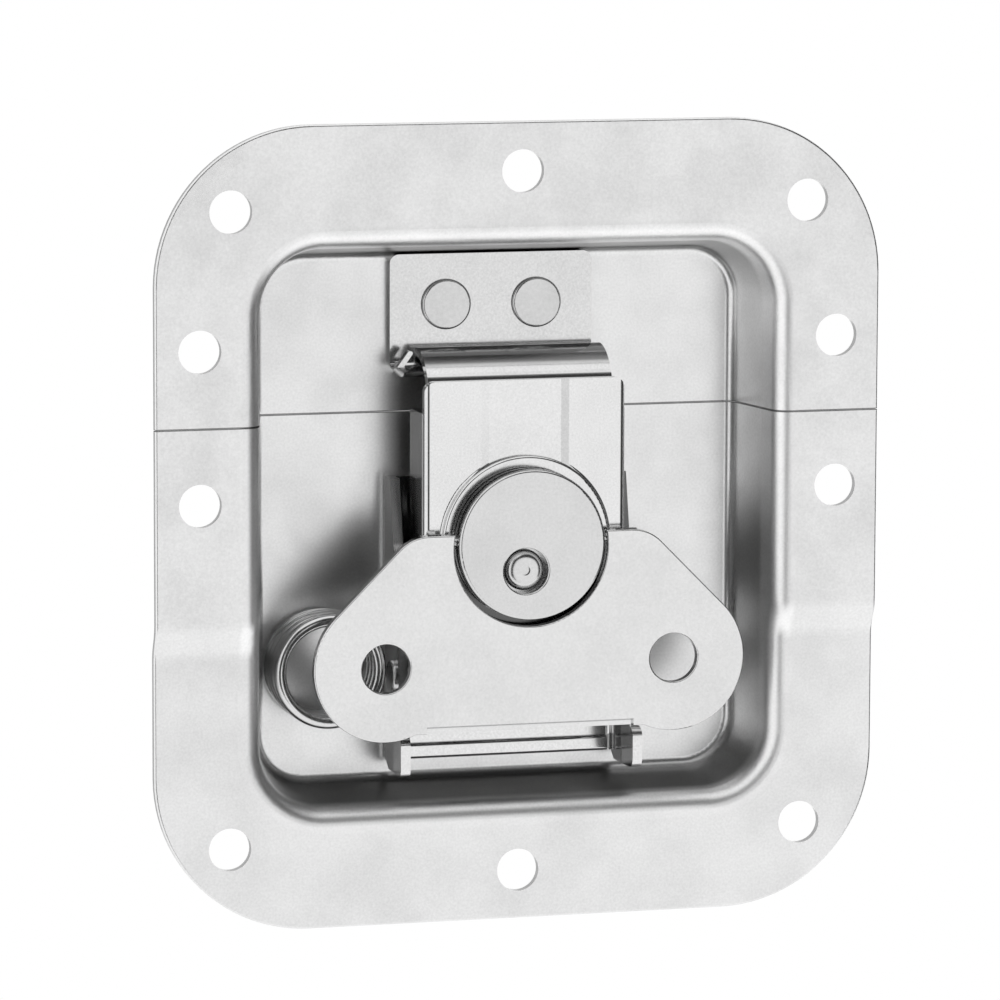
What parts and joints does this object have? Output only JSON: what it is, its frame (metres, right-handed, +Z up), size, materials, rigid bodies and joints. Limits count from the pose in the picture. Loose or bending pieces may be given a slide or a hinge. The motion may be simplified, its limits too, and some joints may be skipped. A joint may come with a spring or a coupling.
{
  "type": "butterfly latch",
  "caption": "Recessed butterfly twist latch in a split pressed steel dish, with a folding two-winged handle, an eccentric spindle, a hook plate and a riveted keeper",
  "frame": {"origin": "on the centre line of the dish, on the parting line between its upper and lower halves, in the plane of the flange's mounting (back) face; it is the centre of the four side holes", "axes": "X to the right seen from the front, Y into the case, Z up toward the upper (lid) half"},
  "size_m": [0.104, 0.0188, 0.112],
  "materials": {
    "dish_zinc": "bright zinc plate, satin",
    "plate_zinc": "bright zinc plate, smooth",
    "turned_nickel": "turned and plated, satin",
    "fastener_steel": "plated steel",
    "spring_wire": "drawn wire, plated"
  },
  "bodies": {
    "base": {"dish_upper": "dish_zinc", "dish_lower": "dish_zinc", "keeper_plate": "plate_zinc", "keeper_rivet_left": "fastener_steel", "keeper_rivet_right": "fastener_steel", "base_bracket": "plate_zinc", "bracket_rivet_upper_left": "fastener_steel", "bracket_rivet_upper_right": "fastener_steel", "bracket_rivet_lower_left": "fastener_steel", "bracket_rivet_lower_right": "fastener_steel", "swing_pin": "fastener_steel", "torsion_spring": "spring_wire"},
    "cover": {"cover_plate": "plate_zinc"},
    "spindle": {"spindle": "turned_nickel", "keep_washer": "turned_nickel", "crank_rivet": "turned_nickel", "crank_washer": "turned_nickel", "fold_pin": "fastener_steel"},
    "handle": {"handle": "plate_zinc"},
    "hook": {"hook_plate": "plate_zinc"}
  },
  "joints": [
    {"name": "latch_swing", "type": "hinge", "parent": "base", "child": "cover", "pos_m": [0.0008, 0.0059, -0.0365], "axis": [1, 0, 0], "range_deg": [0, 6]},
    {"name": "handle_turn", "type": "hinge", "parent": "cover", "child": "spindle", "pos_m": [0.0008, 0, -0.0172], "axis": [0, -1, 0], "range_deg": [0, 180]},
    {"name": "handle_fold", "type": "hinge", "parent": "spindle", "child": "handle", "pos_m": [0.0008, -0.0021, -0.0167], "axis": [-1, 0, 0], "range_deg": [0, 90]},
    {"name": "hook_lift", "type": "slide", "parent": "cover", "child": "hook", "axis": [0, 0, 1], "range_m": [0, 0.0072]}
  ],
  "couplings": [
    {"joint": "latch_swing", "follows": "handle_turn", "ratio": 0.033333},
    {"joint": "hook_lift", "follows": "handle_turn", "m_per_rad": 0.0022918}
  ]
}
